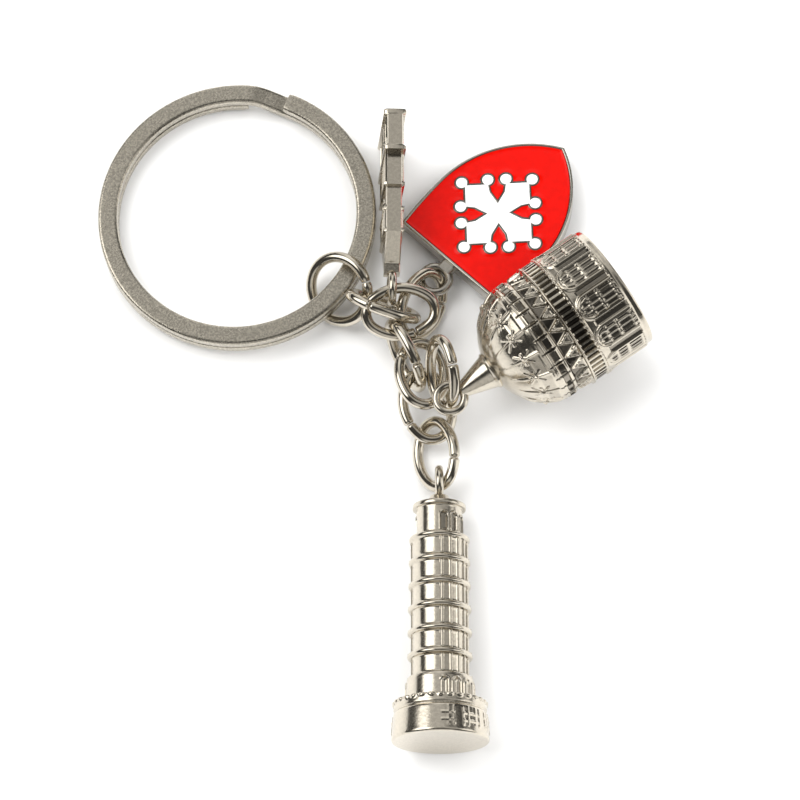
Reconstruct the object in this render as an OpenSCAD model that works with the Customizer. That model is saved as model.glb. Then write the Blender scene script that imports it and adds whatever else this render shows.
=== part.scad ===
// Souvenir keychain: a flat split ring, a round jump ring, a short loose
// chain and four pewter-style charms, all lying on a flat table.
// Millimetres, +Z up. Origin: centre of the split ring.

/* [Split ring] */
// Outside diameter of the split ring
ring_od = 30; // [27:0.5:33]
// Radial width of the flat ring wire
ring_band = 2.1; // [1.8:0.1:2.2]
// Height of both coils together
ring_h = 2.5; // [2:0.1:2.6]
// Corner radius of the ring wire
ring_edge = 0.35; // [0.1:0.05:0.45]
// Where the two coils cross, degrees from +X
ring_jog = 68; // [40:1:110]
// Sliding gap between the two coils
coil_gap = 0.06; // [0.04:0.01:0.12]

/* [Jump ring] */
// Outside diameter of the jump ring
jump_od = 8.2; // [8:0.1:8.6]
// Wire diameter of the jump ring
jump_wire = 1.15; // [0.9:0.05:1.2]
// Where the jump ring sits on the split ring, degrees from +X
jump_at = -37.8; // [-40:0.2:-36]

/* [Chain links] */
// Outside length of one oval link; the whole chain scales with it
link_l = 8.5; // [7.6:0.1:10.2]
// Outside width of one link as a share of its length
link_w_share = 0.73; // [0.72:0.005:0.74]
// Wire diameter as a share of the link length
wire_share = 0.135; // [0.11:0.005:0.14]
// Open slit where the wire ends meet
slit = 0.12; // [0.06:0.02:0.2]

/* [Tower charm] */
// Length from eyelet centre to the flat foot
tower_len = 27.9; // [23:0.1:29]
// Diameter of the round shaft
tower_shaft_d = 5.7; // [5.2:0.1:6]
// Diameter of the lowest gallery ring
tower_ring_d = 6.9; // [6.4:0.1:7.2]
// Diameter of the foot
tower_foot_d = 10.1; // [9:0.1:11]

/* [Baptistery charm] */
// Length from the flat foot to the eyelet centre
dome_len = 21.1; // [21.1:0.1:25]
// Diameter of the round hall
dome_hall_d = 14.1; // [13:0.1:14.4]
// Diameter of the widest gallery
dome_gallery_d = 14.6; // [14:0.1:15]

/* [Shield charm] */
// Length from the straight edge to the point
shield_len = 18.3; // [17:0.1:19.5]
// Widest width of the shield
shield_w = 14.9; // [14.4:0.1:15.1]
// Thickness of the shield
shield_t = 1.9; // [1.6:0.1:2.2]
// Width of the raised metal rim
shield_rim = 0.35; // [0.25:0.05:0.4]
// Depth of the enamel
enamel_t = 0.6; // [0.3:0.05:0.9]
// Reach of one cross arm to its outer ball
cross_r = 5.4; // [4.5:0.05:5.5]
// Radius of the twelve small balls on the cross
ball_r = 0.65; // [0.4:0.05:0.7]

/* [Facade charm] */
// Length from the eyelet centre to the foot
plate_len = 18.2; // [16.5:0.1:20]
// Full width of the facade, standing upright
plate_w = 11.3; // [10.8:0.1:11.4]
// Thickness of the facade plate
plate_t = 1.7; // [1.4:0.1:1.8]

/* [Eyelets] */
// Hole through every cast eyelet
eye_hole = 2.1; // [2.05:0.05:2.3]

/* [Hidden] */
// Derived sizes
link_w = link_l * link_w_share;
wire_d = link_l * wire_share;
end_r = link_l * 0.2235;
scale_k = link_l / 8.5;
coil_h = (ring_h - coil_gap) / 2;
band_mid = (ring_od - ring_band) / 2;
jog_span = 18;
coil_span = 360 - jog_span;
eye_wall = 0.9;
eye_mid_r = (eye_hole + eye_wall) / 2;
fit_gap = 0.02;
cell_wall = 0.16;

// The jump ring's wire lies under the split ring and tips it
ring_tilt = asin((jump_wire + 0.12) / (band_mid + ring_od / 2));
tilt_at = jump_at - 4;
table_z = -(ring_od / 2 * sin(ring_tilt) + ring_h / 2 * cos(ring_tilt));
// Foot point on the table under the jump ring's centre
chain_at = [(band_mid + 0.08) * cos(jump_at), (band_mid + 0.08) * sin(jump_at), table_z];

// Where each link lies: millimetres from the foot point, turn in degrees,
// and the corner where its wire ends meet
lie_a = [[4.7, -2.25, 4.05], [117, 9, -18], [-1, 1]];
lie_b = [[6.55, -3.05, 4.55], [20, 2, 6], [1, -1]];
lie_c = [[7.05, -7.45, 3.15], [79, 11, -65], [1, 1]];
lie_d = [[9.4, -12.8, 2.2], [-2, 4, -75], [1, -1]];
lie_e = [[8.8, -9.85, 4.45], [-18, -13, -90], [-1, -1]];
lie_k = [[10.95, -10.25, 5.8], [63, 31, -86], [-1, 1]];
lie_s = [[8.8, -1.525, 2.295], [42.9, 0.3, 65.9], [1, -1]];
lie_t = [[10.3, -18.1, 2.4], [42, -10, -80], [1, 1]];
jump_lie = [42, -100.2];
jump_rise = 2.93;

// Where each eyelet lies, and which way its charm points
tower_eye = [10.6, -21.4, 2.75];
tower_dir = -90;
tower_rise = asin((tower_foot_d / 2 - tower_eye[2] * scale_k) / tower_len);
dome_eye = [11.75, -13, 6];
dome_dir = 34;
dome_rise = asin((dome_gallery_d / 2 + 0.02 - dome_eye[2] * scale_k) / (dome_len - 7.4));
shield_eye = [10.264, 1.374, 2.092];
shield_dir = 46.6;
shield_drop = 1.8;
shield_roll = -6.45;
plate_eye = [5.6, -0.75, 5.7];
plate_lean = 4;

// Shield outline: slightly bowed sides down to the widest place, then two
// arcs that meet in the point
shield_gap = 2.25;
shield_bulge = 6.5 * shield_len / 18.3;
shield_bow = 49;
shield_run = shield_len - shield_bulge;
shield_arc = (shield_run * shield_run + shield_w * shield_w / 4) / shield_w;
shield_off = shield_arc - shield_w / 2;
bow_off = shield_bow - shield_w / 2;
cross_at = 7.75 * shield_len / 18.3;
relief_at = 140;

// Which node to build

module rounded_bar(w, h, r) {
    // wire section with rounded corners
    square([w - 2 * r, h], center = true);
    square([w, h - 2 * r], center = true);
    for (x = [-1, 1])
        for (y = [-1, 1])
            translate([x * (w / 2 - r), y * (h / 2 - r)])
                circle(r = r, $fn = 32);
}

module tube_arc(radius, wire, from, span) {
    // round wire bent to an arc in the XY plane
    rotate([0, 0, from])
        rotate_extrude(angle = span, $fn = 96)
            translate([radius, 0])
                circle(d = wire, $fn = 48);
}

module oval_wire(length, width, wire, end_r) {
    // closed oval of four wire arcs, long axis X, sizes over the wire
    a = (length - wire) / 2;
    b = (width - wire) / 2;
    c = a - end_r;
    k = (c * c - (b - end_r) * (b - end_r)) / (2 * (b - end_r));
    side_r = b + k;
    half = atan2(c, k);
    for (s = [0, 180])
        rotate([0, 0, s]) {
            translate([0, -k, 0])
                tube_arc(side_r, wire, 90 - half, 2 * half);
            translate([-c, 0, 0]) {
                tube_arc(end_r, wire, 90 + half, 180 - 2 * half);
                // a bead closes each butt between two arcs
                for (t = [90 + half, 270 - half])
                    rotate([0, 0, t])
                        translate([end_r, 0, 0])
                            sphere(d = wire * 1.05, $fn = 48);
            }
        }
}

module link(p) {
    // p = [position, turn, corner of the slit]
    color([0.80, 0.77, 0.72])
        translate(chain_at + scale_k * p[0])
            rotate(p[1])
                difference() {
                    oval_wire(link_l, link_w, wire_d, end_r);
                    translate([p[2][0] * link_l * 0.18, p[2][1] * link_w / 2, 0])
                        cube([slit, wire_d * 2.4, wire_d * 2], center = true);
                }
}

module eye_loop() {
    // round-section loop, hole along Z
    rotate_extrude($fn = 96)
        translate([eye_mid_r, 0])
            circle(d = eye_wall, $fn = 48);
}

module eye_bore(h) {
    cylinder(h = h, d = eye_hole, center = true, $fn = 64);
}

// ---------------------------------------------------------------- rings

module coil(level) {
    rotate([0, 0, ring_jog - coil_span])
        rotate_extrude(angle = coil_span, $fn = 180)
            translate([band_mid, level])
                rounded_bar(ring_band, coil_h, ring_edge);
}

module coil_slice(at, level) {
    rotate([0, 0, at])
        translate([band_mid, 0, level])
            cube([ring_band, 0.04, coil_h], center = true);
}

module split_ring() {
    // two coils joined by one sloping jog
    up = (coil_h + coil_gap) / 2;
    color([0.78, 0.76, 0.73])
        rotate([0, 0, tilt_at])
            rotate([0, -ring_tilt, 0])
                rotate([0, 0, -tilt_at]) {
                    coil(up);
                    coil(-up);
                    for (i = [0:2])
                        hull() {
                            coil_slice(ring_jog + i * jog_span / 3, -up + i * 2 * up / 3);
                            coil_slice(ring_jog + (i + 1) * jog_span / 3, -up + (i + 1) * 2 * up / 3);
                        }
                }
}

module jump_ring() {
    color([0.82, 0.80, 0.76])
        translate(chain_at + [0, 0, jump_rise])
            rotate([0, jump_lie[0], jump_at + jump_lie[1]])
                rotate([0, 0, 150])
                    rotate_extrude(angle = 358, $fn = 144)
                        translate([(jump_od - jump_wire) / 2, 0])
                            circle(d = jump_wire, $fn = 48);
}

module link_a() {
    link(lie_a);
}

module link_b() {
    link(lie_b);
}

module link_c() {
    link(lie_c);
}

module link_d() {
    link(lie_d);
}

module link_e() {
    link(lie_e);
}

module link_k() {
    link(lie_k);
}

module link_s() {
    link(lie_s);
}

module link_t() {
    link(lie_t);
}

// ---------------------------------------------------------------- charms
// Every charm is drawn with its eyelet centre at the origin and its foot
// or point along +Z, then laid down.

module lay(p, dir, rise, roll) {
    translate(chain_at + scale_k * p)
        rotate([0, 90 - rise, dir])
            rotate([0, 0, roll])
                children();
}

module ring_step(z, h, d) {
    translate([0, 0, z])
        cylinder(h = h, d = d, $fn = 96);
}

module cone_step(z, h, d1, d2) {
    translate([0, 0, z])
        cylinder(h = h, d1 = d1, d2 = d2, $fn = 96);
}

module arch_cut(w, h, deep) {
    // round-headed opening, foot on Z = 0, cutting along X
    translate([0, -w / 2, 0])
        cube([deep, w, h - w / 2]);
    translate([0, 0, h - w / 2])
        rotate([0, 90, 0])
            cylinder(h = deep, d = w, $fn = 24);
}

module tower_body() {
    s = tower_len / 27.9;
    r = tower_shaft_d / 2;
    // neck, belfry and its cornice
    cone_step(1.5 * s, 1.1 * s, 2.2, 3.4);
    ring_step(2.5 * s, 0.5, tower_shaft_d - 0.1);
    difference() {
        ring_step(2.9 * s, 3.4 * s, tower_shaft_d - 0.9);
        for (a = [0:60:300])
            rotate([0, 0, a + 15])
                translate([r - 1.0, 0, 3.5 * s])
                    mirror([0, 0, 1])
                        translate([0, 0, -2.1 * s])
                            arch_cut(1.3, 1.9 * s, 2);
    }
    // shaft and gallery rings
    ring_step(6.2 * s, 15.2 * s, tower_shaft_d);
    for (i = [0:6])
        ring_step((6.1 + i * 2.52) * s, 0.5, tower_ring_d - (6 - i) * 0.09);
    // two fields of columns, the flanks stay plain
    for (side = [0, 180])
        for (a = [-52.5:15:52.5])
            rotate([0, 0, side + relief_at + a])
                translate([r + 0.02, 0, 6.3 * s])
                    cylinder(h = 17 * s, d = 0.46, $fn = 16);
    // base drum, step and foot
    ring_step(21.3 * s, 2.6 * s, tower_ring_d + 0.1);
    ring_step(23.8 * s, 1.0 * s, tower_foot_d - 0.5);
    cone_step(24.7 * s, 3.2 * s, tower_foot_d - 0.5, tower_foot_d);
    for (a = [0:15:345])
        rotate([0, 0, a])
            translate([tower_foot_d / 2 - 0.65, 0, 23.8 * s])
                sphere(d = 0.7, $fn = 16);
}

module tower_charm() {
    color([0.82, 0.80, 0.77])
        lay(tower_eye, tower_dir, tower_rise, 0)
            difference() {
                union() {
                    tower_body();
                    rotate([90, 0, 0])
                        eye_loop();
                }
                rotate([90, 0, 0])
                    eye_bore(3);
            }
}

// Ball that the dome is cut from, and its centre along the charm
dome_r = 7.24 * dome_hall_d / 14.1;
dome_c = dome_len - 8.9;

module dome_rib(a) {
    // round rib over the dome, in the plane at angle a
    rotate([0, 0, a])
        translate([0, 0, dome_c])
            rotate([90, 0, 0])
                tube_arc(dome_r, 0.5, -72, 48);
}

module baptistery_body() {
    l = dome_len;
    r = dome_hall_d / 2;
    // foot and hall with twelve blind arches
    ring_step(l - 0.8, 0.8, dome_hall_d - 0.4);
    difference() {
        ring_step(l - 5.9, 5.2, dome_hall_d);
        for (a = [0:30:330])
            rotate([0, 0, a])
                translate([r - 0.35, 0, l - 0.9])
                    mirror([0, 0, 1])
                        difference() {
                            arch_cut(2.9, 4.6, 2);
                            arch_cut(1.9, 3.9, 2);
                        }
    }
    // colonnade
    ring_step(l - 7.4, 1.7, dome_hall_d - 0.8);
    ring_step(l - 6.1, 0.35, dome_gallery_d - 0.2);
    ring_step(l - 7.5, 0.35, dome_gallery_d);
    for (a = [0:15:345])
        rotate([0, 0, a])
            translate([r - 0.25, 0, l - 7.4])
                cylinder(h = 1.5, d = 0.7, $fn = 16);
    // gabled storey
    ring_step(l - 9.6, 2.3, dome_hall_d - 0.9);
    for (a = [0:30:330])
        rotate([0, 0, a])
            translate([r - 0.7, 0, l - 7.4])
                rotate([0, 90, 0])
                    linear_extrude(height = 0.75)
                        polygon([[0, -1.45], [0, 1.45], [2.1, 0]]);
    // panelled drum under the dome
    difference() {
        ring_step(l - 11.4, 2, dome_hall_d - 0.6);
        for (a = [0:15:345])
            rotate([0, 0, a + 7.5])
                translate([r - 0.65, -0.5, l - 11.1])
                    cube([2, 1, 1.3]);
    }
    // dome, ribs and cone cap
    intersection() {
        translate([0, 0, dome_c])
            sphere(r = dome_r, $fn = 128);
        ring_step(l - 15.9, 4.6, dome_hall_d);
    }
    for (a = [0:30:330])
        dome_rib(a);
    cone_step(l - 19.4, 3.8, 1.7, 3.9);
    ring_step(l - 16.1, 0.4, 4.3);
}

module baptistery_charm() {
    color([0.82, 0.80, 0.77])
        lay(dome_eye, dome_dir, dome_rise, 0)
            difference() {
                union() {
                    baptistery_body();
                    rotate([0, 90, 0])
                        eye_loop();
                }
                rotate([0, 90, 0])
                    eye_bore(3);
            }
}

module arc_pair(radius, off, inset) {
    // the lens where two mirrored discs overlap
    intersection() {
        translate([shield_bulge, off])
            circle(r = radius - inset, $fn = 360);
        translate([shield_bulge, -off])
            circle(r = radius - inset, $fn = 360);
    }
}

module shield_outline(inset) {
    // straight top on X = 0, point along +X
    intersection() {
        arc_pair(shield_arc, shield_off, inset);
        translate([shield_bulge - 0.01, -shield_w])
            square([shield_len * 1.2, 2 * shield_w]);
    }
    intersection() {
        arc_pair(shield_bow, bow_off, inset);
        translate([inset, -shield_w])
            square([shield_bulge - inset, 2 * shield_w]);
    }
}

module cross_outline(grow) {
    // four splayed arms, three balls on each
    k = cross_r / 5.57;
    square(1.76 * k + 2 * grow, center = true);
    for (a = [0:90:270])
        rotate(a) {
            polygon([[0, 0], [0.88 * k, -0.88 * k - grow], [2.4 * k, -1.25 * k - grow],
                     [3.25 * k, -1.85 * k - grow], [5.1 * k + grow, 0],
                     [3.25 * k, 1.85 * k + grow], [2.4 * k, 1.25 * k + grow],
                     [0.88 * k, 0.88 * k + grow]]);
            translate([cross_r, 0])
                circle(r = ball_r * k + grow, $fn = 32);
            for (s = [-1, 1])
                translate([3.65 * k, s * 2.22 * k])
                    circle(r = ball_r * k + grow, $fn = 32);
        }
}

module shield_lay() {
    // X from the eyelet to the point, Z up out of the face
    translate(chain_at + scale_k * shield_eye)
        rotate([shield_roll, shield_drop, shield_dir])
            translate([shield_gap, 0, 0])
                children();
}

module shield_charm() {
    color([0.78, 0.76, 0.72])
        shield_lay()
            difference() {
                union() {
                    translate([0, 0, -shield_t / 2])
                        linear_extrude(height = shield_t)
                            shield_outline(0);
                    translate([-shield_gap, 0, 0])
                        eye_loop();
                    translate([-0.45, 0, 0])
                        cube([1.1, 1.8, 1.1], center = true);
                }
                translate([-shield_gap, 0, 0])
                    eye_bore(3);
                // enamel bed, leaving a thin wall round the cross
                translate([0, 0, shield_t / 2 - enamel_t])
                    linear_extrude(height = enamel_t + 1)
                        difference() {
                            shield_outline(shield_rim);
                            translate([cross_at, 0])
                                cross_outline(cell_wall);
                        }
                translate([cross_at, 0, shield_t / 2 - enamel_t])
                    linear_extrude(height = enamel_t + 1)
                        cross_outline(0);
            }
}

module red_enamel() {
    color([0.85, 0.05, 0.03])
        shield_lay()
            translate([0, 0, shield_t / 2 - enamel_t + fit_gap])
                linear_extrude(height = enamel_t - 0.1)
                    difference() {
                        shield_outline(shield_rim + fit_gap);
                        translate([cross_at, 0])
                            cross_outline(cell_wall + fit_gap);
                    }
}

module white_enamel() {
    color([0.95, 0.95, 0.93])
        shield_lay()
            translate([cross_at, 0, shield_t / 2 - enamel_t + fit_gap])
                linear_extrude(height = enamel_t - 0.1)
                    cross_outline(-fit_gap);
}

module facade_outline(s, h) {
    // stepped church front, gable toward the eyelet
    polygon([[18.2 * s, -h], [18.2 * s, h], [13.6 * s, h], [13.6 * s, h - 1.3], [10.1 * s, h - 1.3],
             [10.1 * s, h - 1.9], [5.1 * s, h - 1.9], [2.4 * s, 1], [1.5, 0.9], [1.5, -0.9],
             [2.4 * s, -1], [5.1 * s, 1.9 - h], [10.1 * s, 1.9 - h], [10.1 * s, 1.3 - h],
             [13.6 * s, 1.3 - h], [13.6 * s, -h]]);
}

module facade_slab(z, len, wide, thick) {
    translate([-thick / 2, -wide / 2, z])
        cube([thick, wide, len]);
}

module facade_charm() {
    s = plate_len / 18.2;
    h = plate_w / 2;
    color([0.80, 0.78, 0.74])
        lay(plate_eye, 90, 0, 90 + plate_lean)
            difference() {
                union() {
                    rotate([0, -90, 0])
                        translate([0, 0, -plate_t / 2])
                            linear_extrude(height = plate_t)
                                facade_outline(s, h);
                    rotate([0, 90, 0])
                        eye_loop();
                    // foot, cornices and gallery bars, both faces
                    facade_slab(plate_len - 0.6, 0.6, plate_w, plate_t + 0.7);
                    facade_slab(13.6 * s, 0.5, plate_w - 0.2, plate_t + 0.6);
                    facade_slab(10.1 * s, 0.4, plate_w - 2.8, plate_t + 0.5);
                    facade_slab(7.6 * s, 0.35, plate_w - 4, plate_t + 0.5);
                    facade_slab(5.1 * s, 0.4, plate_w - 4, plate_t + 0.5);
                    for (i = [-3:3])
                        translate([0, i, 0])
                            facade_slab(5.4 * s, 2.3 * s, 0.4, plate_t + 0.35);
                    for (i = [-4:4])
                        translate([0, i, 0])
                            facade_slab(10.3 * s, 3.4 * s, 0.4, plate_t + 0.35);
                }
                rotate([0, 90, 0])
                    eye_bore(3);
                // three doors and a round window sunk into each face
                for (f = [0, 180])
                    rotate([0, 0, f]) {
                        for (y = [-3.6, 0, 3.6])
                            translate([plate_t / 2 - 0.3, y, plate_len - 0.6])
                                mirror([0, 0, 1])
                                    arch_cut(1.9, 3.1 * s, 2);
                        translate([plate_t / 2 - 0.3, 0, 9 * s])
                            rotate([0, 90, 0])
                                cylinder(h = 2, d = 1.4, $fn = 32);
                    }
            }
}

// ---------------------------------------------------------------- parts

split_ring();
jump_ring();
link_a();
link_b();
link_c();
link_d();
link_e();
link_k();
link_s();
link_t();
tower_charm();
baptistery_charm();
facade_charm();
shield_charm();
red_enamel();
white_enamel();
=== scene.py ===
import math

import bmesh
import bpy
import numpy as np
from mathutils import Euler, Matrix, Vector


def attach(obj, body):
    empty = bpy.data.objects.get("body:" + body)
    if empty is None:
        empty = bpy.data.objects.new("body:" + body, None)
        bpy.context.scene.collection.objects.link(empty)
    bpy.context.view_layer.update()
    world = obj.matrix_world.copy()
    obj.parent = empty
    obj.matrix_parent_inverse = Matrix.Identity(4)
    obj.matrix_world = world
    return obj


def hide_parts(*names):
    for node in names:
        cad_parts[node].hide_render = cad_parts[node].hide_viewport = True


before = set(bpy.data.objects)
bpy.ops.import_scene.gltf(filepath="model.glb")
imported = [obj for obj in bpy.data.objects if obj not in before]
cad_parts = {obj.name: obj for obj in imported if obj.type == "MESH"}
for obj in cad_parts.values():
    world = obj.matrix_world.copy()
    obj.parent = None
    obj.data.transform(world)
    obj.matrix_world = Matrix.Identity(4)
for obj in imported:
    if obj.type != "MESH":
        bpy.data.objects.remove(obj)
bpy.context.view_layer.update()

MM = 0.001

# ------------------------------------------------- values shared with part.scad
RING_OD, RING_BAND, RING_H, RING_EDGE = 30.0, 2.1, 2.5, 0.35
RING_JOG, JOG_SPAN, COIL_GAP = 68.0, 18.0, 0.06
JUMP_OD, JUMP_WIRE, JUMP_AT = 8.2, 1.15, -37.8
LINK_L, LINK_W, WIRE_D, END_R = 8.5, 6.205, 1.1475, 1.9
EYE_R, EYE_WIRE = 1.5, 0.9
BAND_MID = (RING_OD - RING_BAND) / 2
RING_TILT = math.asin((JUMP_WIRE + 0.12) / (BAND_MID + RING_OD / 2))
TILT_AT = math.radians(JUMP_AT - 4)
TABLE_Z = -(RING_OD / 2 * math.sin(RING_TILT) + RING_H / 2 * math.cos(RING_TILT))
CHAIN_AT = Vector(
    (
        (BAND_MID + 0.08) * math.cos(math.radians(JUMP_AT)),
        (BAND_MID + 0.08) * math.sin(math.radians(JUMP_AT)),
        TABLE_Z,
    )
)
# link: position from the foot point, turn in degrees, corner of the slit
LINKS = {
    "link_a": ((4.7, -2.25, 4.05), (117, 9, -18), (-1, 1)),
    "link_b": ((6.55, -3.05, 4.55), (20, 2, 6), (1, -1)),
    "link_c": ((7.05, -7.45, 3.15), (79, 11, -65), (1, 1)),
    "link_d": ((9.4, -12.8, 2.2), (-2, 4, -75), (1, -1)),
    "link_e": ((8.8, -9.85, 4.45), (-18, -13, -90), (-1, -1)),
    "link_k": ((10.95, -10.25, 5.8), (63, 31, -86), (-1, 1)),
    "link_s": ((8.8, -1.525, 2.295), (42.9, 0.3, 65.9), (1, -1)),
    "link_t": ((10.3, -18.1, 2.4), (42, -10, -80), (1, 1)),
}
TOWER_LEN, TOWER_SHAFT_D, TOWER_RING_D, TOWER_FOOT_D = 27.9, 5.7, 6.9, 10.1
DOME_LEN, HALL_D, GALLERY_D = 21.1, 14.1, 14.6
DOME_R, DOME_C = 7.24, DOME_LEN - 8.9
SHIELD_LEN, SHIELD_W, SHIELD_T, SHIELD_RIM = 18.3, 14.9, 1.9, 0.35
ENAMEL_T, CROSS_R, BALL_R, CELL_WALL, FIT_GAP = 0.6, 5.4, 0.65, 0.16, 0.02
SHIELD_GAP, SHIELD_BULGE, SHIELD_BOW, CROSS_AT = 2.25, 6.5, 49.0, 7.75
SHIELD_RUN = SHIELD_LEN - SHIELD_BULGE
SHIELD_ARC = (SHIELD_RUN**2 + SHIELD_W**2 / 4) / SHIELD_W
PLATE_LEN, PLATE_W, PLATE_T = 18.2, 11.3, 1.7
TOWER_EYE, TOWER_DIR = (10.6, -21.4, 2.75), -90.0
DOME_EYE, DOME_DIR = (11.75, -13.0, 6.0), 34.0
SHIELD_EYE = (10.264, 1.374, 2.092)
PLATE_EYE = (5.6, -0.75, 5.7)
SHIELD_TURN = (-6.45, 1.8, 46.6)
PLATE_DIR, PLATE_ROLL = 90, 94
JUMP_HIGH, JUMP_TIP, JUMP_TURN, JUMP_OPEN = 2.93, 42, -100.2, 150
# where the tower's columns face, and how many of each detail go round a charm
RELIEF_AT = math.radians(140)
TOWER_COLUMNS, BELFRY_ARCHES, BASE_ARCHES, STEP_BEADS, FOOT_PANELS = 20, 12, 16, 30, 10
HALL_ARCHES, HALL_BEADS, SLOTS, GABLES, DOME_RIBS = 12, 84, 60, 26, 16


def turn(degrees):
    """OpenSCAD's rotate([x, y, z]) as a 4x4 matrix."""
    return Euler([math.radians(a) for a in degrees], "XYZ").to_matrix().to_4x4()


def lay(eye, direction, rise, roll):
    """Where a charm drawn along +Z from its eyelet lies, as part.scad's lay()."""
    place = Matrix.Translation(CHAIN_AT + Vector(eye))
    return place @ turn((0, 90 - rise, direction)) @ turn((0, 0, roll))


TOWER_RISE = math.degrees(math.asin((TOWER_FOOT_D / 2 - TOWER_EYE[2]) / TOWER_LEN))
DOME_RISE = math.degrees(math.asin((GALLERY_D / 2 + 0.02 - DOME_EYE[2]) / (DOME_LEN - 7.4)))
TOWER_LAY = lay(TOWER_EYE, TOWER_DIR, TOWER_RISE, 0)
DOME_LAY = lay(DOME_EYE, DOME_DIR, DOME_RISE, 0)
PLATE_LAY = lay(PLATE_EYE, PLATE_DIR, 0, PLATE_ROLL)
SHIELD_LAY = (
    Matrix.Translation(CHAIN_AT + Vector(SHIELD_EYE))
    @ turn(SHIELD_TURN)
    @ Matrix.Translation((SHIELD_GAP, 0, 0))
)
RING_LAY = (
    Matrix.Rotation(TILT_AT, 4, "Z")
    @ Matrix.Rotation(-RING_TILT, 4, "Y")
    @ Matrix.Rotation(-TILT_AT, 4, "Z")
)
JUMP_LAY = (
    Matrix.Translation(CHAIN_AT + Vector((0, 0, JUMP_HIGH)))
    @ turn((0, JUMP_TIP, JUMP_AT + JUMP_TURN))
    @ turn((0, 0, JUMP_OPEN))
)


# ------------------------------------------------------------------ mesh helpers
def new_object(name, verts, faces, place=None, smooth_angle=40.0, cavity_shade=None):
    """An object in metres from millimetre vertices, laid down by place."""
    mesh = bpy.data.meshes.new(name)
    pts = np.asarray(verts, float)
    if place is not None:
        m = np.array(place)
        pts = pts @ m[:3, :3].T + m[:3, 3]
    mesh.from_pydata((pts * MM).tolist(), [], [list(map(int, f)) for f in faces])
    mesh.validate()
    # per-vertex painted shade, which the material uses to darken recesses
    if cavity_shade is not None:
        layer = mesh.attributes.new("cavity_shade", "FLOAT", "POINT")
        layer.data.foreach_set("value", np.asarray(cavity_shade, np.float32))
    bm = bmesh.new()
    bm.from_mesh(mesh)
    bmesh.ops.recalc_face_normals(bm, faces=bm.faces)
    bm.to_mesh(mesh)
    bm.free()
    mesh.shade_smooth()
    mesh.set_sharp_from_angle(angle=math.radians(smooth_angle))
    obj = bpy.data.objects.new(name, mesh)
    bpy.context.scene.collection.objects.link(obj)
    return obj


def grid_faces(rows, cols, wrap_rows=False, wrap_cols=False, base=0):
    """Quads over a rows x cols grid of vertices numbered row by row."""
    r = np.arange(rows if wrap_rows else rows - 1)
    c = np.arange(cols if wrap_cols else cols - 1)
    rr, cc = np.meshgrid(r, c, indexing="ij")
    r2, c2 = (rr + 1) % rows, (cc + 1) % cols
    quads = np.stack([rr * cols + cc, rr * cols + c2, r2 * cols + c2, r2 * cols + cc], -1)
    return (quads.reshape(-1, 4) + base).tolist()


def join_parts(parts):
    """One (verts, faces, painted shade per vertex) from several."""
    verts, faces, cavity_shade, base = [], [], [], 0
    for v, f, c in parts:
        verts.append(np.asarray(v, float))
        faces += [[i + base for i in face] for face in f]
        cavity_shade.append(np.zeros(len(v)) if c is None else np.asarray(c, float))
        base += len(v)
    return np.vstack(verts), faces, np.concatenate(cavity_shade)


def sweep(path, section, up=None, closed=False):
    """Verts and faces of a section (M,2: across, up) carried along a path (N,3).
    Open ends are closed by a flat cap. up is a fixed vector, or None to carry it."""
    path = np.asarray(path, float)
    n = len(path)
    if closed:
        tangent = np.roll(path, -1, 0) - np.roll(path, 1, 0)
    else:
        tangent = np.gradient(path, axis=0)
    tangent /= np.linalg.norm(tangent, axis=1)[:, None]
    up = np.array([0, 0, 1.0]) if up is None else np.asarray(up, float)
    side = np.cross(tangent, up)
    side /= np.linalg.norm(side, axis=1)[:, None]
    high = np.cross(side, tangent)
    sec = np.asarray(section, float)
    if sec.ndim == 2:
        sec = np.repeat(sec[None], n, 0)
    verts = (
        path[:, None] + side[:, None] * sec[:, :, :1] + high[:, None] * sec[:, :, 1:2]
    ).reshape(-1, 3)
    m = sec.shape[1]
    faces = grid_faces(n, m, wrap_rows=closed, wrap_cols=True)
    if not closed:
        faces.append(list(range(m)))
        faces.append([(n - 1) * m + i for i in range(m)][::-1])
    return verts, faces, None


def circle_section(d, steps=28):
    a = np.linspace(0, 2 * math.pi, steps, endpoint=False)
    return np.stack([np.cos(a), np.sin(a)], 1) * d / 2


def rounded_bar(w, h, r, steps=6):
    """Rectangle with rounded corners as (M,2) points."""
    pts = []
    for cx, cy, start in ((1, 1, 0), (-1, 1, 90), (-1, -1, 180), (1, -1, 270)):
        for a in np.radians(np.linspace(start, start + 90, steps)):
            pts.append((cx * (w / 2 - r) + r * math.cos(a), cy * (h / 2 - r) + r * math.sin(a)))
    pts = np.array(pts)
    out = []
    for a, b in zip(pts, np.roll(pts, -1, 0)):
        out.append(a)
        if np.hypot(*(b - a)) > 2 * r:  # support points keep a flat flat
            out += [a + (b - a) * t for t in (0.04, 0.35, 0.65, 0.96)]
    return np.array(out)


def shrink_ends(section, count, steps=4, share=0.16):
    """The section at each of count stations, its first and last ones eased in to
    leave a small rounded edge at a cut end."""
    sec = np.repeat(np.asarray(section, float)[None], count, 0)
    for i in range(steps):
        k = 1 - share * (1 - math.sin(math.pi / 2 * i / steps))
        sec[i] *= k
        sec[count - 1 - i] *= k
    return sec


def loop_mesh(radius, wire, around=56, section=22):
    """A closed round-section loop in the XY plane, its hole along Z."""
    a = np.linspace(0, 2 * math.pi, around, endpoint=False)
    path = np.stack([np.cos(a) * radius, np.sin(a) * radius, 0 * a], 1)
    return sweep(path, circle_section(wire, section), closed=True)


def placed(part, place):
    m = np.array(place)
    return np.asarray(part[0]) @ m[:3, :3].T + m[:3, 3], part[1], part[2]


def smooth_step(x, low, high):
    t = np.clip((x - low) / (high - low), 0, 1)
    return t * t * (3 - 2 * t)


def bar(x, half, soft):
    """1 inside |x| < half, easing to 0 over soft."""
    return 1 - smooth_step(np.abs(x), half - soft / 2, half + soft / 2)


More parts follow.
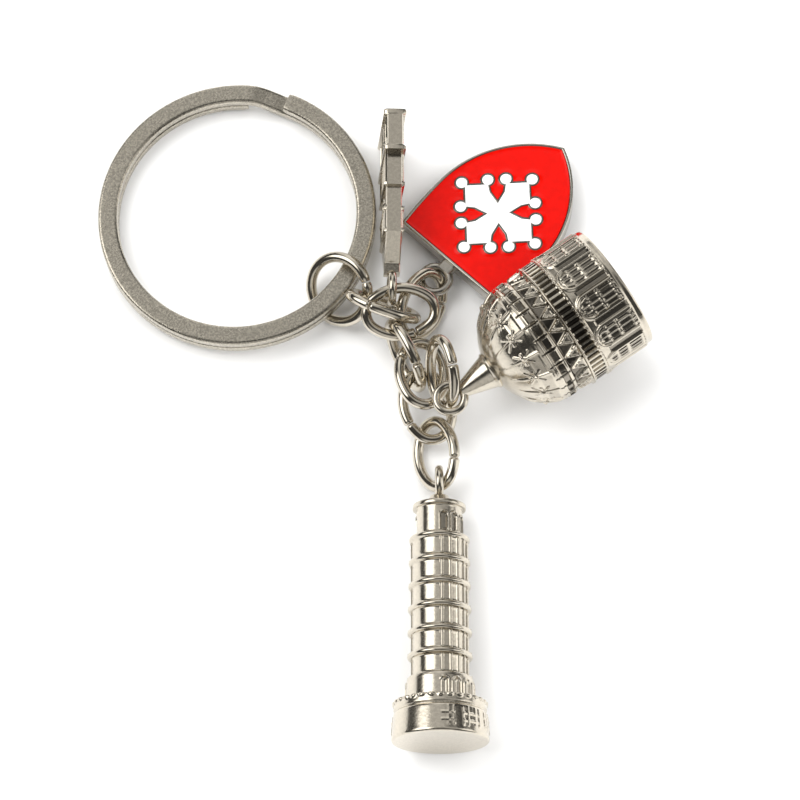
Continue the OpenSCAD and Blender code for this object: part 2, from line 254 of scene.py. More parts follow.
def ridge(x, half):
    """Half-round section: 1 on the middle line, 0 from half outwards."""
    return np.sqrt(np.clip(1 - (x / half) ** 2, 0, 1))


def cell(angle, count, shift=0.0):
    """Signed arc angle from the nearest of count evenly spaced marks."""
    pitch = 2 * math.pi / count
    return (angle - shift + pitch / 2) % pitch - pitch / 2


def lathe(profile, relief, around, step, place, name, extra=()):
    """A turned casting along Z. profile is a list of (z, radius); relief(theta, z, r)
    gives the rise added to the radius and the painted shade of its recesses. extra is parts
    joined to it."""
    z, r = [profile[0][0]], [profile[0][1]]
    for (z0, r0), (z1, r1) in zip(profile, profile[1:]):
        count = max(1, int(math.ceil(math.hypot(z1 - z0, r1 - r0) / step)))
        for i in range(1, count + 1):
            z.append(z0 + (z1 - z0) * i / count)
            r.append(r0 + (r1 - r0) * i / count)
    z, r = np.array(z), np.array(r)
    for _ in range(2):  # castings have no sharp corners
        z[1:-1] = (z[:-2] + 2 * z[1:-1] + z[2:]) / 4
        r[1:-1] = (r[:-2] + 2 * r[1:-1] + r[2:]) / 4
    theta = np.linspace(0, 2 * math.pi, around, endpoint=False)
    tt, zz = np.meshgrid(theta, z)
    rr = np.repeat(r[:, None], around, 1)
    rise, cavity_shade = relief(tt, zz, rr)
    rr = rr + rise
    verts = np.stack([rr * np.cos(tt), rr * np.sin(tt), zz], -1).reshape(-1, 3)
    faces = grid_faces(len(z), around, wrap_cols=True)
    faces.append(list(range(around))[::-1])
    faces.append([(len(z) - 1) * around + i for i in range(around)])
    part = (verts, faces, cavity_shade.reshape(-1))
    v, f, c = join_parts([part, *extra])
    return new_object(name, v, f, place, 50, c)


# -------------------------------------------------------------------- materials
def material(
    name, colour, metallic, rough, rough_vary, bump_mm, grain_mm,
    recess_shade=None, speckle=0.08, specular=0.5,
):
    """Principled surface with noise in its colour, roughness and bump. bump_mm is the
    depth of the grain and grain_mm its size, speckle is how much darker the grain
    gets. The eighth argument is painted shade: the colour that recesses go to, by a
    per-vertex attribute."""
    mat = bpy.data.materials.new(name)
    mat.use_nodes = True
    nodes, links = mat.node_tree.nodes, mat.node_tree.links
    shader = nodes["Principled BSDF"]
    shader.inputs["Metallic"].default_value = metallic
    shader.inputs["Specular IOR Level"].default_value = specular
    where = nodes.new("ShaderNodeTexCoord")
    blotch = nodes.new("ShaderNodeTexNoise")
    blotch.inputs["Scale"].default_value = 420
    blotch.inputs["Detail"].default_value = 4
    links.new(where.outputs["Object"], blotch.inputs["Vector"])
    spread = nodes.new("ShaderNodeMapRange")
    spread.inputs["From Min"].default_value = 0.3
    spread.inputs["From Max"].default_value = 0.7
    spread.inputs["To Min"].default_value = max(0.0, rough - rough_vary)
    spread.inputs["To Max"].default_value = rough + rough_vary
    links.new(blotch.outputs["Fac"], spread.inputs["Value"])
    links.new(spread.outputs["Result"], shader.inputs["Roughness"])
    tone = nodes.new("ShaderNodeMix")
    tone.data_type = "RGBA"
    tone.inputs["A"].default_value = (*[c * (1 - speckle) for c in colour], 1)
    tone.inputs["B"].default_value = (*colour, 1)
    fine = nodes.new("ShaderNodeTexNoise")
    fine.inputs["Scale"].default_value = 1 / (grain_mm * MM)
    fine.inputs["Detail"].default_value = 3
    links.new(where.outputs["Object"], fine.inputs["Vector"])
    sharpen = nodes.new("ShaderNodeMapRange")
    sharpen.inputs["From Min"].default_value = 0.38
    sharpen.inputs["From Max"].default_value = 0.62
    links.new(fine.outputs["Fac"], sharpen.inputs["Value"])
    links.new(sharpen.outputs["Result"], tone.inputs["Factor"])
    last = tone.outputs["Result"]
    # painted shade: recesses are darkened towards the shade colour by the per-vertex attribute
    if recess_shade is not None:
        cavity_shade = nodes.new("ShaderNodeAttribute")
        cavity_shade.attribute_name = "cavity_shade"
        shade_mix = nodes.new("ShaderNodeMix")
        shade_mix.data_type = "RGBA"
        shade_mix.inputs["B"].default_value = (*recess_shade, 1)
        links.new(cavity_shade.outputs["Fac"], shade_mix.inputs["Factor"])
        links.new(last, shade_mix.inputs["A"])
        last = shade_mix.outputs["Result"]
    links.new(last, shader.inputs["Base Color"])
    bump = nodes.new("ShaderNodeBump")
    bump.inputs["Strength"].default_value = 0.6
    bump.inputs["Distance"].default_value = bump_mm * MM
    links.new(fine.outputs["Fac"], bump.inputs["Height"])
    links.new(bump.outputs["Normal"], shader.inputs["Normal"])
    return mat


NICKEL = (0.68, 0.625, 0.53)
SPLIT_STEEL = (0.62, 0.575, 0.49)
SHIELD_METAL = (0.50, 0.47, 0.42)
# painted shade: the colours the castings' recesses and the shield's cross walls are darkened to
CAST_RECESS_SHADE = (0.07, 0.06, 0.05)
SHIELD_WALL_SHADE = (0.2, 0.19, 0.17)
MAT_SPLIT = material("split_ring_steel", SPLIT_STEEL, 1, 0.27, 0.015, 0.04, 0.2, speckle=0.36)
MAT_WIRE = material("nickel_wire", NICKEL, 1, 0.12, 0.02, 0.006, 0.5)
MAT_CAST = material("nickel_casting", NICKEL, 1, 0.17, 0.03, 0.014, 0.3, CAST_RECESS_SHADE, 0.1)
MAT_SHIELD = material("shield_metal", SHIELD_METAL, 1, 0.2, 0.06, 0.01, 0.3, SHIELD_WALL_SHADE)
MAT_RED = material(
    "red_enamel_gloss", (0.66, 0.003, 0.0003), 0, 0.07, 0.02, 0.003, 0.8, specular=0.22
)
MAT_WHITE = material(
    "white_enamel_gloss", (0.93, 0.93, 0.92), 0, 0.16, 0.04, 0.003, 0.8, specular=0.22
)


def finish_piece(obj, mat, body, slot, *nodes):
    obj.data.materials.clear()
    obj.data.materials.append(mat)
    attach(obj, body)
    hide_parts(*nodes)
    return obj


# --------------------------------------------------------------- rings and links
def build_split_ring():
    coil_h = (RING_H - COIL_GAP) / 2
    rise = (coil_h + COIL_GAP) / 2
    start, end = RING_JOG - (360 - JOG_SPAN), RING_JOG + 360
    deg = np.linspace(start, end, 700)
    lift = -rise + 2 * rise * smooth_step(deg, RING_JOG + 1, RING_JOG + JOG_SPAN - 1)
    a = np.radians(deg)
    path = np.stack([BAND_MID * np.cos(a), BAND_MID * np.sin(a), lift], 1)
    section = shrink_ends(rounded_bar(RING_BAND, coil_h, RING_EDGE, 7), len(path), 3, 0.08)
    v, f, _ = sweep(path, section)
    obj = new_object("split_ring_coil", v, f, RING_LAY, 60)
    return finish_piece(obj, MAT_SPLIT, "split_ring", "split_steel", "split_ring")


def build_jump_ring():
    a = np.radians(np.linspace(0, 358, 150))
    r = (JUMP_OD - JUMP_WIRE) / 2
    path = np.stack([r * np.cos(a), r * np.sin(a), 0 * a], 1)
    section = shrink_ends(circle_section(JUMP_WIRE, 32), len(path), 4, 0.2)
    v, f, _ = sweep(path, section)
    obj = new_object("jump_ring_wire", v, f, JUMP_LAY, 60)
    return finish_piece(obj, MAT_WIRE, "jump_ring", "link_nickel", "jump_ring")


def oval_points(step=0.06):
    """Centreline of a link, long axis X, counter-clockwise."""
    a, b = (LINK_L - WIRE_D) / 2, (LINK_W - WIRE_D) / 2
    c = a - END_R
    k = (c * c - (b - END_R) ** 2) / (2 * (b - END_R))
    half = math.atan2(c, k)
    side_r = b + k
    pts = []
    for flip in (1, -1):
        for cx, cy, rad, t0, t1 in (
            (0, -k, side_r, math.pi / 2 - half, math.pi / 2 + half),
            (-c, 0, END_R, math.pi / 2 + half, 3 * math.pi / 2 - half),
        ):
            for t in np.linspace(t0, t1, int(rad * (t1 - t0) / step), endpoint=False):
                x, y = cx + rad * math.cos(t), cy + rad * math.sin(t)
                pts.append((flip * x, flip * y, 0))
    return np.array(pts)


def build_link(name):
    pos, angles, corner = LINKS[name]
    pts = oval_points()
    cut = (corner[0] * LINK_L * 0.18, corner[1] * (LINK_W - WIRE_D) / 2)
    first = int(np.argmin((pts[:, 0] - cut[0]) ** 2 + (pts[:, 1] - cut[1]) ** 2))
    pts = np.roll(pts, -first, 0)
    path = pts[1:]
    section = shrink_ends(circle_section(WIRE_D, 30), len(path), 4, 0.22)
    v, f, _ = sweep(path, section)
    place = Matrix.Translation(CHAIN_AT + Vector(pos)) @ turn(angles)
    obj = new_object(name + "_wire", v, f, place, 60)
    return finish_piece(obj, MAT_WIRE, name, "link_nickel", name)


# ------------------------------------------------------------------ tower charm
GALLERIES, GALLERY_FROM, GALLERY_PITCH = 7, 6.1, 2.52


def tower_profile():
    """(z, radius) from the neck under the eyelet to the flat foot."""
    r, ring = TOWER_SHAFT_D / 2, TOWER_RING_D / 2
    pts = [(1.45, 0.95), (2.0, 1.25), (2.5, 1.7)]
    pts += [(2.5, r - 0.05), (3.0, r - 0.05), (3.0, r - 0.45)]
    for i in range(GALLERIES):
        z0 = GALLERY_FROM + GALLERY_PITCH * i
        rad = ring - (GALLERIES - 1 - i) * 0.045
        inner = r - 0.45 if i == 0 else r
        pts += [(z0 - 0.08, inner), (z0 - 0.02, rad - 0.16), (z0 + 0.10, rad - 0.03)]
        pts += [(z0 + 0.25, rad), (z0 + 0.40, rad - 0.03)]
        pts += [(z0 + 0.52, rad - 0.16), (z0 + 0.58, r)]
    pts += [(21.35, r), (21.4, ring), (23.75, ring + 0.05), (23.8, 4.75), (24.75, 4.8)]
    pts += [(24.78, 4.62), (24.95, 4.62), (25.0, 4.8), (27.3, 5.0), (27.72, 5.04), (27.9, 4.92)]
    pts += [(27.9, 4.0), (27.86, 2.0), (27.86, 0.4)]
    return pts


def tower_relief(theta, z, r):
    """Columns and small arches on two fields, the flanks left plain."""
    side = cell(theta, 2, RELIEF_AT - math.radians(8))
    field = bar(side, math.radians(48), 0.06)
    arc = cell(theta, TOWER_COLUMNS, RELIEF_AT) * r
    rise = np.zeros_like(r)
    # painted shade in the recesses: the belfry openings are darkened
    cavity_shade = np.zeros_like(r)
    # columns between the gallery rings, a small arch head on each pair
    storey = (z - GALLERY_FROM) % GALLERY_PITCH
    in_shaft = smooth_step(z, 6.6, 6.7) * (1 - smooth_step(z, 21.3, 21.38))
    between = bar(storey - 1.56, 0.98, 0.08) * in_shaft
    rise += 0.16 * ridge(arc, 0.17) * field * between
    arcade = bar(storey - 0.74, 0.07, 0.06) * in_shaft * field
    rise += 0.05 * arcade
    # belfry arches on the two fields
    belfry = bar(z - 4.7, 1.15, 0.1)
    gap = cell(theta, BELFRY_ARCHES, RELIEF_AT) * r
    opening = bar(gap, 0.33, 0.1) * bar(z - 5.0, 0.75, 0.1)
    crown = np.hypot(gap, z - 4.25)
    opening = np.maximum(opening, 1 - smooth_step(crown, 0.3, 0.4))
    frame_line = bar(crown - 0.47, 0.08, 0.06) * (z < 4.3)
    frame_line += bar(np.abs(gap) - 0.47, 0.08, 0.06) * (z >= 4.3) * (z < 5.75)
    rise += belfry * field * (0.10 * frame_line - 0.20 * opening)
    cavity_shade += 0.5 * belfry * opening * field
    # arches of the lowest storey
    low = bar(z - 22.6, 1.0, 0.08)
    wide = cell(theta, BASE_ARCHES, RELIEF_AT + math.pi / BASE_ARCHES) * r
    ring = np.hypot(wide, z - 22.35)
    upper = z < 22.35
    span = np.where(upper, ring, np.abs(wide))
    low_arch = bar(span - 0.5, 0.09, 0.06)
    inner = bar(span - 0.22, 0.07, 0.06)
    rise += low * field * (0.13 * low_arch + 0.08 * inner) * (np.abs(wide) < 0.63)
    # beads on the step
    bead = cell(theta, STEP_BEADS) * r
    ball = np.clip(1 - (bead / 0.34) ** 2 - ((z - 23.95) / 0.3) ** 2, 0, 1)
    rise += 0.16 * np.sqrt(ball) * bar(z - 24.0, 0.45, 0.1)
    # foot: plain left flank, panel lines and a small lattice on the right
    foot = bar(z - 26.2, 1.05, 0.1) * field
    dist = cell(theta, FOOT_PANELS, RELIEF_AT) * r
    boxed = bar(np.abs(dist) - 1.05, 0.09, 0.06) * bar(z - 26.2, 1.0, 0.08)
    cross_bar = bar(z - 25.9, 0.09, 0.06) + bar(z - 26.7, 0.09, 0.06)
    rise += foot * (0.08 * boxed + 0.06 * cross_bar * (np.abs(dist) < 1.0))
    lattice = bar(np.abs(dist) - 0.45, 0.07, 0.06)
    rise += foot * 0.06 * lattice
    return rise, np.clip(cavity_shade, 0, 1)


def build_tower():
    eye = placed(loop_mesh(EYE_R, EYE_WIRE), turn((90, 0, 0)))
    obj = lathe(tower_profile(), tower_relief, 300, 0.1, TOWER_LAY, "tower_casting", [eye])
    return finish_piece(obj, MAT_CAST, "tower", "cast_nickel", "tower_charm")


# ------------------------------------------------------------- baptistery charm
def dome_profile():
    """(z, radius) from the cone under the eyelet to the open side of the hall."""
    length, r, g = DOME_LEN, HALL_D / 2, GALLERY_D / 2
    ball = lambda z: math.sqrt(max(0.0, DOME_R**2 - (z - DOME_C) ** 2))
    pts = [(1.35, 0.75), (1.7, 0.88), (4.9, 1.88), (5.0, 2.1), (5.2, 2.12), (5.3, 2.0)]
    dome_from = length - 15.85
    pts += [(dome_from, 2.1)]
    for z in np.linspace(dome_from + 0.05, length - 11.45, 26):
        pts.append((z, ball(z)))
    pts += [(length - 11.4, r - 0.2), (length - 9.5, r - 0.18), (length - 9.45, r - 0.4)]
    pts += [(length - 7.75, r - 0.35), (length - 7.7, g - 0.04), (length - 7.5, g - 0.04)]
    pts += [(length - 7.45, r + 0.02), (length - 5.98, r + 0.02)]
    pts += [(length - 5.94, g - 0.12), (length - 5.76, g - 0.12), (length - 5.72, r)]
    pts += [(length - 0.75, r), (length - 0.7, r - 0.12), (length - 0.1, r - 0.14)]
    pts += [(length, r - 0.3), (length, r - 1.2), (length - 0.05, 3.0), (length - 0.05, 0.5)]
    return pts


def dome_relief(theta, z, r):
    """Relief storey by storey; level is the height above the hall's foot."""
    level = DOME_LEN - z
    rise = np.zeros_like(r)
    # painted shade in the recesses: windows, hollows between arches, slots, sunk gable
    # triangles, pits, sunk panels, grooves and the dome's lower band are darkened
    cavity_shade = np.zeros_like(r)
    flank = cell(theta, 2, math.radians(180))
    field = 1 - bar(np.abs(flank) - math.pi / 2, 0.16, 0.1)
    # hall: round-headed double arches with a mullioned window in each
    hall = bar(level - 3.25, 2.45, 0.08)
    arc = cell(theta, HALL_ARCHES, math.radians(15)) * r
    head_at = 4.35
    span = np.where(level > head_at, np.hypot(arc, level - head_at), np.abs(arc))
    low_end = level > 0.95
    rise += hall * low_end * 0.17 * bar(span - 1.3, 0.15, 0.09)
    window = 1 - smooth_step(span, 1.0, 1.08)
    head = bar(span - 0.88, 0.1, 0.08) * (level > head_at)
    bars = bar(arc, 0.11, 0.08) + bar(np.abs(arc) - 0.64, 0.12, 0.08) + head
    rails = bar(level - 4.25, 0.11, 0.08) + bar(level - 2.9, 0.13, 0.08)
    rails += bar(level - 1.15, 0.15, 0.08)
    solid = np.clip(bars + rails, 0, 1)
    rise += hall * low_end * window * (0.12 * solid - 0.10)
    cavity_shade += hall * low_end * window * (1 - solid) * 0.6
    between = bar(np.abs(arc) - 1.84, 0.3, 0.12) * bar(level - 2.9, 1.95, 0.12)
    rise -= 0.12 * between
    cavity_shade += 0.6 * between
    # beaded line above the hall
    bead = cell(theta, HALL_BEADS) * r
    rise += 0.06 * np.sqrt(np.clip(1 - (bead / 0.22) ** 2 - ((level - 5.85) / 0.13) ** 2, 0, 1))
    # colonnade of narrow slots
    slot = cell(theta, SLOTS) * r
    open_slot = bar(slot, 0.18, 0.07) * bar(level - 6.71, 0.66, 0.1)
    rise -= 0.42 * open_slot
    cavity_shade += 0.97 * open_slot
    # gables with a sunk triangle in each, pits between them
    pitch = 2 * math.pi / GABLES
    tri = cell(theta, GABLES) * r
    gable = (level > 7.72) & (level < 9.5)
    up = (level - 7.74) / 1.6
    edge = (1 - up) * pitch * r / 2 - np.abs(tri)
    rise += gable * 0.30 * smooth_step(edge, 0.0, 0.1) * (up < 1)
    inner = smooth_step(edge, 0.26, 0.34) * smooth_step(up, 0.1, 0.16)
    rise -= gable * 0.15 * inner
    cavity_shade += gable * 0.35 * inner
    pit = smooth_step(-edge, 0.02, 0.12) * (1 - smooth_step(up, 1.02, 1.1)) * gable
    rise -= 0.10 * pit
    cavity_shade += 0.75 * pit
    # panelled band
    band = bar(level - 10.42, 0.86, 0.08)
    box = cell(theta, GABLES, pitch / 2) * r
    outline = np.maximum(np.abs(box) / 0.74, np.abs(level - 10.22) / 0.46)
    rise += 0.08 * bar(level - 11.0, 0.09, 0.07)
    rise += band * 0.10 * bar(outline - 0.92, 0.09, 0.08)
    sunk = 1 - smooth_step(outline, 0.72, 0.82)
    rise -= band * 0.10 * sunk
    cavity_shade += band * 0.6 * sunk
    groove = bar(np.abs(box) - pitch * r / 2, 0.07, 0.06)
    rise -= band * 0.12 * groove
    cavity_shade += band * 0.8 * groove
    # dome: ribs, a band line, and a small star where they cross
    dome = (level > 11.42) & (level < 15.7)
    fade = 1 - smooth_step(level, 14.3, 15.2)
    rib = cell(theta, DOME_RIBS) * r
    off_star = level - 13.0
    rise += dome * fade * 0.16 * ridge(rib, 0.16)
    rise += dome * 0.12 * ridge(off_star, 0.14) * (np.abs(rib) < 0.75)
    diagonal = np.minimum(np.abs(rib - off_star), np.abs(rib + off_star))
    star = np.hypot(rib, off_star) < 1.1
    rise += dome * star * 0.11 * ridge(diagonal, 0.13)
    lower = bar(level - 12.1, 0.5, 0.15) * (np.abs(rib) > 0.3) * dome
    rise -= 0.05 * lower
    cavity_shade += 0.25 * lower
    rise *= np.where(level < 5.7, 0.45 + 0.55 * field, 1)
    return rise, np.clip(cavity_shade, 0, 1)


def build_dome():
    eye = placed(loop_mesh(EYE_R, EYE_WIRE), turn((0, 90, 0)))
    obj = lathe(dome_profile(), dome_relief, 540, 0.115, DOME_LAY, "baptistery_casting", [eye])
    return finish_piece(obj, MAT_CAST, "baptistery", "cast_nickel", "baptistery_charm")


# ------------------------------------------------------- flat fields for the shield
def region(field, bounds, step, height, floor):
    """A closed solid over the plane region where field(x, y) < 0. Its top is
    height(depth), depth being the distance in from the outline, and its floor is flat."""
    x0, x1, y0, y1 = bounds
    xs = np.arange(x0, x1 + step, step)
    ys = np.arange(y0, y1 + step, step)
    gx, gy = np.meshgrid(xs, ys, indexing="ij")
    f = field(gx, gy)
    f = np.where(np.abs(f) < step * 0.03, -step * 0.03, f)
    index, verts, depth = {}, [], []

    def corner(i, j):
        key = (i, j)
        if key not in index:
            index[key] = len(verts)
            verts.append((gx[i, j], gy[i, j]))
            depth.append(-f[i, j])
        return index[key]

    def crossing(a, b):
        key = (min(a, b), max(a, b))
        if key not in index:
            (i, j), (k, m) = key
            t = f[i, j] / (f[i, j] - f[k, m])
            index[key] = len(verts)
            verts.append(
                (gx[i, j] + t * (gx[k, m] - gx[i, j]), gy[i, j] + t * (gy[k, m] - gy[i, j]))
            )
            depth.append(0.0)
        return index[key]

    inside = f < 0
    some = inside[:-1, :-1] | inside[1:, :-1] | inside[:-1, 1:] | inside[1:, 1:]
    faces = []
    for i, j in zip(*np.nonzero(some)):
        ring = [(i, j), (i + 1, j), (i + 1, j + 1), (i, j + 1)]
        face = []
        for a, b in zip(ring, ring[1:] + ring[:1]):
            if inside[a]:
                face.append(corner(*a))
            if inside[a] != inside[b]:
                face.append(crossing(a, b))
        if len(face) > 2:
            faces.append(face)
    xy = np.array(verts)
    top = height(np.array(depth), xy[:, 0], xy[:, 1])
    count = len(xy)
    up = np.column_stack([xy, top])
    down = np.column_stack([xy, np.full(count, floor)])
    edges = {}
    for face in faces:
        for a, b in zip(face, face[1:] + face[:1]):
            edges[(a, b)] = True
    walls = [[a, b, b + count, a + count] for a, b in edges if (b, a) not in edges]
    bottom = [[v + count for v in face[::-1]] for face in faces]
    return np.vstack([up, down]), faces + [w[::-1] for w in walls] + bottom, None


def shield_field(inset):
    """Signed distance, near enough, to the shield outline moved in by inset."""

    def lens(x, y, radius):
        off = radius - SHIELD_W / 2
        one = np.hypot(x - SHIELD_BULGE, y - off) - (radius - inset)
        two = np.hypot(x - SHIELD_BULGE, y + off) - (radius - inset)
        return np.maximum(one, two)

    def field(x, y):
        side = np.where(x > SHIELD_BULGE, lens(x, y, SHIELD_ARC), lens(x, y, SHIELD_BOW))
        return np.maximum(side, inset - x)

    return field


def polygon_distance(x, y, pts):
    """Signed distance to a polygon, negative inside."""
    best = np.full(x.shape, 1e9)
    inside = np.zeros(x.shape, bool)
    for (ax, ay), (bx, by) in zip(pts, pts[1:] + pts[:1]):
        ex, ey = bx - ax, by - ay
        t = np.clip(((x - ax) * ex + (y - ay) * ey) / (ex * ex + ey * ey), 0, 1)
        best = np.minimum(best, np.hypot(x - ax - t * ex, y - ay - t * ey))
        if ay != by:
            crossed = (y < ay) != (y < by)
            inside ^= crossed & (x < ax + (y - ay) * ex / ey)
    return np.where(inside, -best, best)


def cross_field(grow):
    """Signed distance to the cross with twelve balls, grown by grow."""
    k = CROSS_R / 5.57
    flank = [(0.88, 0.88), (2.4, 1.25), (3.25, 1.85)]
    arm = [(0, 0), *[(x, -y) for x, y in flank], (5.1, 0), *flank[::-1]]

    def field(x, y):
        x = x - CROSS_AT
        out = np.maximum(np.abs(x), np.abs(y)) - 0.88 * k
        for c, s in ((1, 0), (0, 1), (-1, 0), (0, -1)):
            u, v = c * x + s * y, -s * x + c * y
            out = np.minimum(out, polygon_distance(u, v, [(a * k, b * k) for a, b in arm]))
            for cx, cy in ((CROSS_R, 0), (3.65 * k, 2.22 * k), (3.65 * k, -2.22 * k)):
                out = np.minimum(out, np.hypot(u - cx, v - cy) - BALL_R * k)
        return out - grow

    return field


def meniscus(top, sink, reach):
    """Enamel that climbs its walls: full height at the edge, sunk further in."""
    return lambda d, *_: top - sink * (1 - np.exp(-(np.maximum(d, 0) / reach) ** 1.3))


def square(half):
    """Bounds of a square round the middle of the cross."""
    return CROSS_AT - half, CROSS_AT + half, -half, half


def build_shield():
    half = SHIELD_T / 2
    bed = half - ENAMEL_T
    bounds = (-0.2, SHIELD_LEN + 0.2, -SHIELD_W / 2 - 0.2, SHIELD_W / 2 + 0.2)
    outer, inner = shield_field(0), shield_field(SHIELD_RIM)
    cross, cross_wall = cross_field(-0.03), cross_field(CELL_WALL + 0.04)
    rim = lambda x, y: np.maximum(outer(x, y), -inner(x, y))
    wall = lambda x, y: np.maximum(cross_wall(x, y), -cross(x, y))

    def rim_top(d, *_):
        edge = np.clip(1 - d / 0.12, 0, 1)
        return half - 0.10 * edge**2

    def wall_top(d, *_):
        return half - 0.01 - 0.05 * np.clip(1 - d / 0.09, 0, 1) ** 2

    slab_top = lambda d, *_: np.full(d.shape, bed)
    # the cross walls get painted shade, 0.9 of the way to the wall shade colour
    wall_part = region(wall, square(6.6), 0.05, wall_top, bed - 0.1)
    parts = [
        region(outer, bounds, 0.12, slab_top, -half),
        region(rim, bounds, 0.07, rim_top, bed - 0.1),
        (*wall_part[:2], np.full(len(wall_part[0]), 0.9)),
        placed(loop_mesh(EYE_R, EYE_WIRE), Matrix.Translation((-SHIELD_GAP, 0, 0))),
    ]
    neck = rounded_bar(1.8, 1.1, 0.35)
    parts.append(sweep([(-1.0, 0, 0), (-0.4, 0, 0), (0.65, 0, 0)], neck))
    v, f, c = join_parts(parts)
    metal = new_object("shield_casting", v, f, SHIELD_LAY, 40, c)
    finish_piece(metal, MAT_SHIELD, "shield", "cast_nickel", "shield_charm")

    red_out, red_in = shield_field(SHIELD_RIM + FIT_GAP), cross_field(CELL_WALL + 0.04)
    red_area = lambda x, y: np.maximum(red_out(x, y), -red_in(x, y))
    v, f, _ = region(red_area, bounds, 0.07, meniscus(half - 0.02, 0.11, 0.30), bed + FIT_GAP)
    red = new_object("red_enamel_field", v, f, SHIELD_LAY, 60)
    finish_piece(red, MAT_RED, "shield", "red", "red_enamel")

    v, f, _ = region(
        cross_field(-0.03),
        square(6.3),
        0.07,
        meniscus(half - 0.02, 0.05, 0.3),
        bed + FIT_GAP,
    )
    white = new_object("white_enamel_cross", v, f, SHIELD_LAY, 60)
    finish_piece(white, MAT_WHITE, "shield", "white", "white_enamel")


# ----------------------------------------------------------------- facade charm
def facade_half_width(z):
    """Half width of the stepped church front at z from the eyelet."""
    h = PLATE_W / 2
    knots = [
        (1.5, 0.9), (2.4, 1.0), (5.1, h - 1.9), (10.1, h - 1.9), (10.1, h - 1.3),
        (13.6, h - 1.3), (13.6, h), (PLATE_LEN, h),
    ]
    for (z0, w0), (z1, w1) in zip(knots, knots[1:]):
        if z0 <= z <= z1 and z1 > z0:
            return w0 + (w1 - w0) * (z - z0) / (z1 - z0)
    return h


def facade_relief(y, z, across):
    """Raised and sunk work on one face, as a height above the plate's face."""
    top = np.zeros_like(y)
    cornices = (
        (17.6, 0.6, PLATE_W, 0.35),
        (13.6, 0.5, PLATE_W - 0.2, 0.30),
        (10.1, 0.4, PLATE_W - 2.8, 0.25),
        (7.6, 0.35, PLATE_W - 4, 0.25),
        (5.1, 0.4, PLATE_W - 4, 0.25),
    )
    for z0, long, wide, proud in cornices:
        strip = bar(z - z0 - long / 2, long / 2, 0.08) * (np.abs(y) < wide / 2)
        top = np.maximum(top, proud * strip)
    rod = ridge((y + 0.5) % 1.0 - 0.5, 0.2)
    for z0, long, limit in ((5.4, 2.3, 3.3), (10.3, 3.4, 4.3)):
        row = bar(z - z0 - long / 2, long / 2, 0.08) * (np.abs(y) < limit)
        top = np.maximum(top, 0.17 * rod * row)
    for y0 in (-3.6, 0, 3.6):
        dist = np.where(z < 15.45, np.hypot(y - y0, z - 15.45), np.abs(y - y0))
        door = (z > 14.2) & (z < 17.6)
        opening = 1 - smooth_step(dist, 0.9, 1.0)
        top += door * (0.12 * bar(dist - 1.15, 0.1, 0.07) - 0.3 * opening)
    rose = np.hypot(y, z - 9.0)
    top += 0.08 * bar(rose - 0.85, 0.1, 0.06) - 0.28 * (1 - smooth_step(rose, 0.66, 0.74))
    return top * smooth_step(across, 0.02, 0.15)


def build_facade():
    zs = np.arange(1.5, PLATE_LEN + 0.001, 0.09)
    count = 104
    half = np.array([facade_half_width(z) for z in zs])
    u = np.linspace(-1, 1, count)
    uu, zz = np.meshgrid(u, zs)
    yy = uu * half[:, None]
    edge = half[:, None] - np.abs(yy)
    round_off = 0.12 * (1 - smooth_step(edge, 0.0, 0.16))
    round_off += 0.10 * (1 - smooth_step(PLATE_LEN - zz, 0, 0.14))
    face = PLATE_T / 2 + facade_relief(yy, zz, edge) - round_off
    front = np.stack([face, yy, zz], -1)
    back = np.stack([-face, yy, zz], -1)
    ring = np.concatenate([front, back[:, ::-1]], 1)
    rows, cols = ring.shape[:2]
    faces = grid_faces(rows, cols, wrap_cols=True)
    faces.append(list(range(cols))[::-1])
    faces.append([(rows - 1) * cols + i for i in range(cols)])
    plate = (ring.reshape(-1, 3), faces, None)
    eye = placed(loop_mesh(EYE_R, EYE_WIRE), turn((0, 90, 0)))
    v, f, c = join_parts([plate, eye])
    obj = new_object("facade_casting", v, f, PLATE_LAY, 40, c)
    return finish_piece(obj, MAT_CAST, "facade", "cast_nickel", "facade_charm")


build_split_ring()
build_jump_ring()
for link_name in LINKS:
    build_link(link_name)
build_tower()
build_dome()
build_facade()
build_shield()


# ------------------------------------------------------ floor, lights and camera
# metres from here on
AIM = (0.0176, -0.0201, TABLE_Z * MM)
AREA_LIGHTS = (
    ("key", (-0.22, 0.16, 0.46), (0.40, 0.40), 1.85),
    ("fill", (0.36, -0.06, 0.40), (0.40, 0.5), 1.45),
    ("back", (0.08, 0.46, 0.30), (0.55, 0.3), 0.9),
    ("front", (-0.05, -0.46, 0.30), (0.45, 0.3), 0.9),
)
def build_floor():
    mat = bpy.data.materials.new("floor_paper")
    mat.use_nodes = True
    shader = mat.node_tree.nodes["Principled BSDF"]
    shader.inputs["Base Color"].default_value = (0.93, 0.93, 0.93, 1)
    shader.inputs["Roughness"].default_value = 0.35
    shader.inputs["Specular IOR Level"].default_value = 0.35
    bpy.ops.mesh.primitive_plane_add(size=2.4, location=(0.0176, -0.02, TABLE_Z * MM - 0.00005))
    floor = bpy.context.active_object
    floor.name = "floor"
    floor.data.materials.append(mat)


def area_light(name, at, size, watts):
    """Light for the matt surfaces; the metal reflects the soft boxes of the world."""
    lamp = bpy.data.lights.new(name, "AREA")
    lamp.shape = "RECTANGLE"
    lamp.size, lamp.size_y = size
    lamp.energy = watts
    obj = bpy.data.objects.new(name, lamp)
    bpy.context.scene.collection.objects.link(obj)
    obj.location = at
    obj.rotation_euler = (Vector(AIM) - Vector(at)).to_track_quat("-Z", "Y").to_euler()
    obj.visible_glossy = False
    return obj


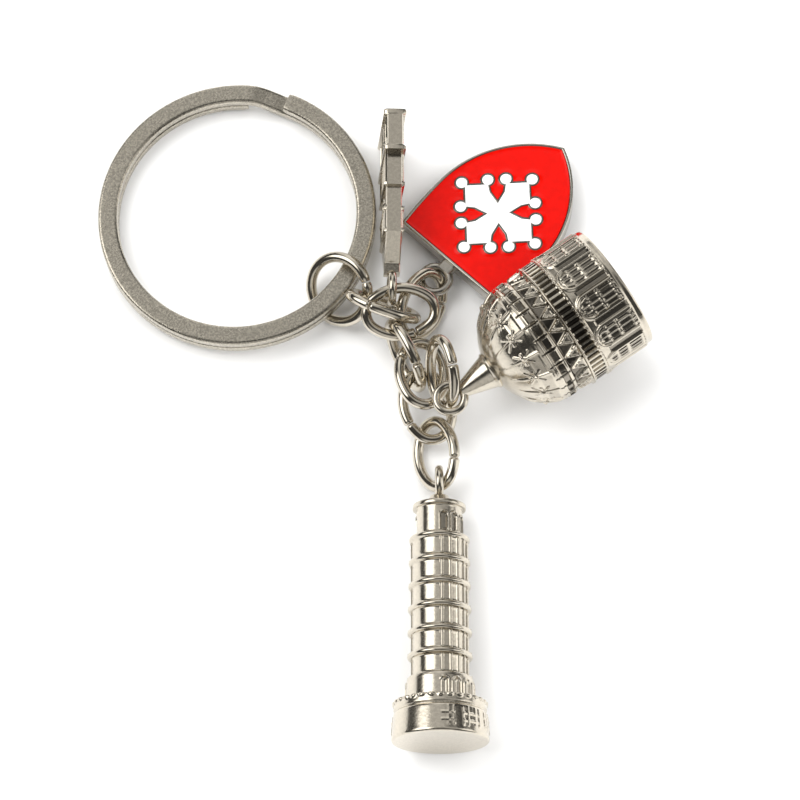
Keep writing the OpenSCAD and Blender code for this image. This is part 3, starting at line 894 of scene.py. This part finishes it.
# soft boxes seen in the metal: direction, angles in degrees where each starts to
# fade and where it ends, and its strength
LOBES = (
    ((-0.68, 0.13, 0.72), 17, 27, 2.4),
    ((-0.12, 0.50, 0.86), 8, 30, 0.55),
    ((0.50, 0.15, 0.85), 8, 26, 0.45),
    ((0.93, 0.0, 0.36), 12, 28, 1.3),
    ((0.0, 0.93, 0.36), 12, 34, 0.8),
    ((0.0, -0.88, 0.45), 12, 36, 0.6),
)
# the dark patch where the photographer stands, and the level of the bare room
VIEWER_SHADE = ((0, -0.28, 0.96), 5, 17, -0.7)
ROOM_LEVEL = 0.06


def combine(tree, operation, a, b):
    """Output of a math node whose two inputs are sockets or plain numbers."""
    node = tree.nodes.new("ShaderNodeMath")
    node.operation = operation
    for socket, value in zip(node.inputs, (a, b)):
        if isinstance(value, float):
            socket.default_value = value
        else:
            tree.links.new(value, socket)
    return node.outputs["Value"]


def lobe(tree, where, direction, inner, outer, value):
    """Soft disc of light of the given value around a direction."""
    dot = tree.nodes.new("ShaderNodeVectorMath")
    dot.operation = "DOT_PRODUCT"
    dot.inputs[1].default_value = Vector(direction).normalized()
    tree.links.new(where.outputs["Generated"], dot.inputs[0])
    fade = tree.nodes.new("ShaderNodeMapRange")
    fade.interpolation_type = "SMOOTHSTEP"
    fade.inputs["From Min"].default_value = math.cos(math.radians(outer))
    fade.inputs["From Max"].default_value = math.cos(math.radians(inner))
    fade.inputs["To Max"].default_value = value
    tree.links.new(dot.outputs["Value"], fade.inputs["Value"])
    return fade.outputs["Result"]


def build_lights():
    world = bpy.data.worlds.new("studio")
    world.use_nodes = True
    tree = world.node_tree
    back = tree.nodes["Background"]
    back.inputs["Color"].default_value = (1.0, 0.99, 0.96, 1)
    where = tree.nodes.new("ShaderNodeTexCoord")
    total = 0.0
    for direction, inner, outer, value in LOBES:
        total = combine(tree, "ADD", total, lobe(tree, where, direction, inner, outer, value))
    shade = lobe(tree, where, *VIEWER_SHADE)
    shade = combine(tree, "ADD", shade, 1.0)
    total = combine(tree, "MULTIPLY", total, shade)
    total = combine(tree, "ADD", total, ROOM_LEVEL)
    tree.links.new(total, back.inputs["Strength"])
    bpy.context.scene.world = world
    for name, at, size, watts in AREA_LIGHTS:
        area_light(name, at, size, watts)


def build_camera():
    data = bpy.data.cameras.new("view")
    data.angle = math.radians(15)
    data.clip_start, data.clip_end = 0.01, 5
    camera = bpy.data.objects.new("view", data)
    bpy.context.scene.collection.objects.link(camera)
    camera.location = (0.01757, -0.10933, 0.31036)
    aim = Vector((0.01757, -0.02008, -0.001907))
    camera.rotation_euler = (aim - camera.location).to_track_quat("-Z", "Y").to_euler()
    bpy.context.scene.camera = camera


build_floor()
build_lights()
build_camera()
bpy.context.scene.view_settings.view_transform = "Standard"
